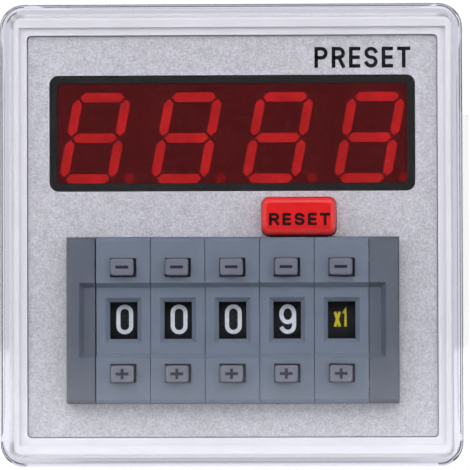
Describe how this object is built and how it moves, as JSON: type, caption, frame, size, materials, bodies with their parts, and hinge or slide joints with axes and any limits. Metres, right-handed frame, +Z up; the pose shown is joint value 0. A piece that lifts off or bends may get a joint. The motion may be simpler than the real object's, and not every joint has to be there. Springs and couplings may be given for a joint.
{
  "type": "panel counter",
  "caption": "Square panel-mount digital counter with a red digit display, pushwheel presets, a reset button, a clear pull-off cover and a round plug-in base.",
  "frame": {"origin": "centre of the bezel's back face, in the plane of the panel that the counter is mounted in", "axes": "+Y backwards through the panel, +Z up, +X to the right as seen from the front"},
  "size_m": [0.0512, 0.0938, 0.0502],
  "materials": {
    "clear_cover": "clear moulded plastic",
    "bezel_plastic": "satin off-white moulding",
    "face_metal": "fine matt silver",
    "display_black": "matt black",
    "display_red": "cast light bars",
    "red_film": "clear dark red film",
    "reset_red": "glossy red",
    "switch_grey": "satin blue-grey",
    "cap_grey": "satin blue-grey",
    "button_grey": "satin light grey",
    "wheel_black": "matt black",
    "contact_brass": "bare spring brass",
    "board_green": "green solder mask",
    "switch_black": "matt black",
    "steel": "bright steel",
    "core_steel": "varnished laminations",
    "coil_tape": "yellow winding tape",
    "relay_blue": "blue relay case",
    "capacitor_sleeve": "dark sleeve",
    "case_black": "fine textured black",
    "base_black": "satin black",
    "pin_metal": "nickel plated"
  },
  "bodies": {
    "body": {"bezel": "bezel_plastic", "face_plate": "face_metal", "display_housing": "display_black", "display_segments": "display_red", "display_film": "red_film", "switch_housing_1": "switch_grey", "switch_housing_2": "switch_grey", "switch_housing_3": "switch_grey", "switch_housing_4": "switch_grey", "switch_housing_5": "switch_grey", "left_end_cap": "cap_grey", "right_end_cap": "cap_grey", "contact_board_1": "board_green", "contact_board_2": "board_green", "contact_board_3": "board_green", "contact_board_4": "board_green", "contact_board_5": "board_green", "display_board": "board_green", "main_board": "board_green", "pin_board": "board_green", "reset_switch": "switch_black", "controller_chip": "switch_black", "stack_rods": "steel", "board_screws": "steel", "transformer_core": "core_steel", "transformer_coil": "coil_tape", "output_relay": "relay_blue", "filter_capacitor": "capacitor_sleeve", "case_shell": "case_black", "rear_base": "base_black", "plug_pins": "pin_metal"},
    "front_cover": {"front_cover": "clear_cover"},
    "reset_button": {"reset_button": "reset_red", "reset_plunger": "switch_black"},
    "digit_wheel_1": {"digit_wheel_1": "wheel_black", "contact_wiper_1": "contact_brass"},
    "minus_button_1": {"minus_button_1": "button_grey"},
    "plus_button_1": {"plus_button_1": "button_grey"},
    "digit_wheel_2": {"digit_wheel_2": "wheel_black", "contact_wiper_2": "contact_brass"},
    "minus_button_2": {"minus_button_2": "button_grey"},
    "plus_button_2": {"plus_button_2": "button_grey"},
    "digit_wheel_3": {"digit_wheel_3": "wheel_black", "contact_wiper_3": "contact_brass"},
    "minus_button_3": {"minus_button_3": "button_grey"},
    "plus_button_3": {"plus_button_3": "button_grey"},
    "digit_wheel_4": {"digit_wheel_4": "wheel_black", "contact_wiper_4": "contact_brass"},
    "minus_button_4": {"minus_button_4": "button_grey"},
    "plus_button_4": {"plus_button_4": "button_grey"},
    "digit_wheel_5": {"digit_wheel_5": "wheel_black", "contact_wiper_5": "contact_brass"},
    "minus_button_5": {"minus_button_5": "button_grey"},
    "plus_button_5": {"plus_button_5": "button_grey"}
  },
  "joints": [
    {"name": "cover_pull", "type": "slide", "parent": "body", "child": "front_cover", "axis": [0, -1, 0], "range_m": [0, 0.02]},
    {"name": "reset_press", "type": "slide", "parent": "body", "child": "reset_button", "axis": [0, 1, 0], "range_m": [0, 0.0005], "stiffness_N_per_m": 1000, "springref_m": -0.0005},
    {"name": "wheel_turn_1", "type": "hinge", "parent": "body", "child": "digit_wheel_1", "pos_m": [-0.01188, 0.0002, -0.00924], "axis": [1, 0, 0], "continuous": true},
    {"name": "minus_press_1", "type": "slide", "parent": "body", "child": "minus_button_1", "axis": [0, 1, 0], "range_m": [0, 0.0008], "stiffness_N_per_m": 300, "springref_m": -0.001},
    {"name": "plus_press_1", "type": "slide", "parent": "body", "child": "plus_button_1", "axis": [0, 1, 0], "range_m": [0, 0.0008], "stiffness_N_per_m": 300, "springref_m": -0.001},
    {"name": "wheel_turn_2", "type": "hinge", "parent": "body", "child": "digit_wheel_2", "pos_m": [-0.00592, 0.0002, -0.00924], "axis": [1, 0, 0], "continuous": true},
    {"name": "minus_press_2", "type": "slide", "parent": "body", "child": "minus_button_2", "axis": [0, 1, 0], "range_m": [0, 0.0008], "stiffness_N_per_m": 300, "springref_m": -0.001},
    {"name": "plus_press_2", "type": "slide", "parent": "body", "child": "plus_button_2", "axis": [0, 1, 0], "range_m": [0, 0.0008], "stiffness_N_per_m": 300, "springref_m": -0.001},
    {"name": "wheel_turn_3", "type": "hinge", "parent": "body", "child": "digit_wheel_3", "pos_m": [0.00004, 0.0002, -0.00924], "axis": [1, 0, 0], "continuous": true},
    {"name": "minus_press_3", "type": "slide", "parent": "body", "child": "minus_button_3", "axis": [0, 1, 0], "range_m": [0, 0.0008], "stiffness_N_per_m": 300, "springref_m": -0.001},
    {"name": "plus_press_3", "type": "slide", "parent": "body", "child": "plus_button_3", "axis": [0, 1, 0], "range_m": [0, 0.0008], "stiffness_N_per_m": 300, "springref_m": -0.001},
    {"name": "wheel_turn_4", "type": "hinge", "parent": "body", "child": "digit_wheel_4", "pos_m": [0.006, 0.0002, -0.00924], "axis": [1, 0, 0], "continuous": true},
    {"name": "minus_press_4", "type": "slide", "parent": "body", "child": "minus_button_4", "axis": [0, 1, 0], "range_m": [0, 0.0008], "stiffness_N_per_m": 300, "springref_m": -0.001},
    {"name": "plus_press_4", "type": "slide", "parent": "body", "child": "plus_button_4", "axis": [0, 1, 0], "range_m": [0, 0.0008], "stiffness_N_per_m": 300, "springref_m": -0.001},
    {"name": "wheel_turn_5", "type": "hinge", "parent": "body", "child": "digit_wheel_5", "pos_m": [0.01196, 0.0002, -0.00924], "axis": [1, 0, 0], "continuous": true},
    {"name": "minus_press_5", "type": "slide", "parent": "body", "child": "minus_button_5", "axis": [0, 1, 0], "range_m": [0, 0.0008], "stiffness_N_per_m": 300, "springref_m": -0.001},
    {"name": "plus_press_5", "type": "slide", "parent": "body", "child": "plus_button_5", "axis": [0, 1, 0], "range_m": [0, 0.0008], "stiffness_N_per_m": 300, "springref_m": -0.001}
  ]
}
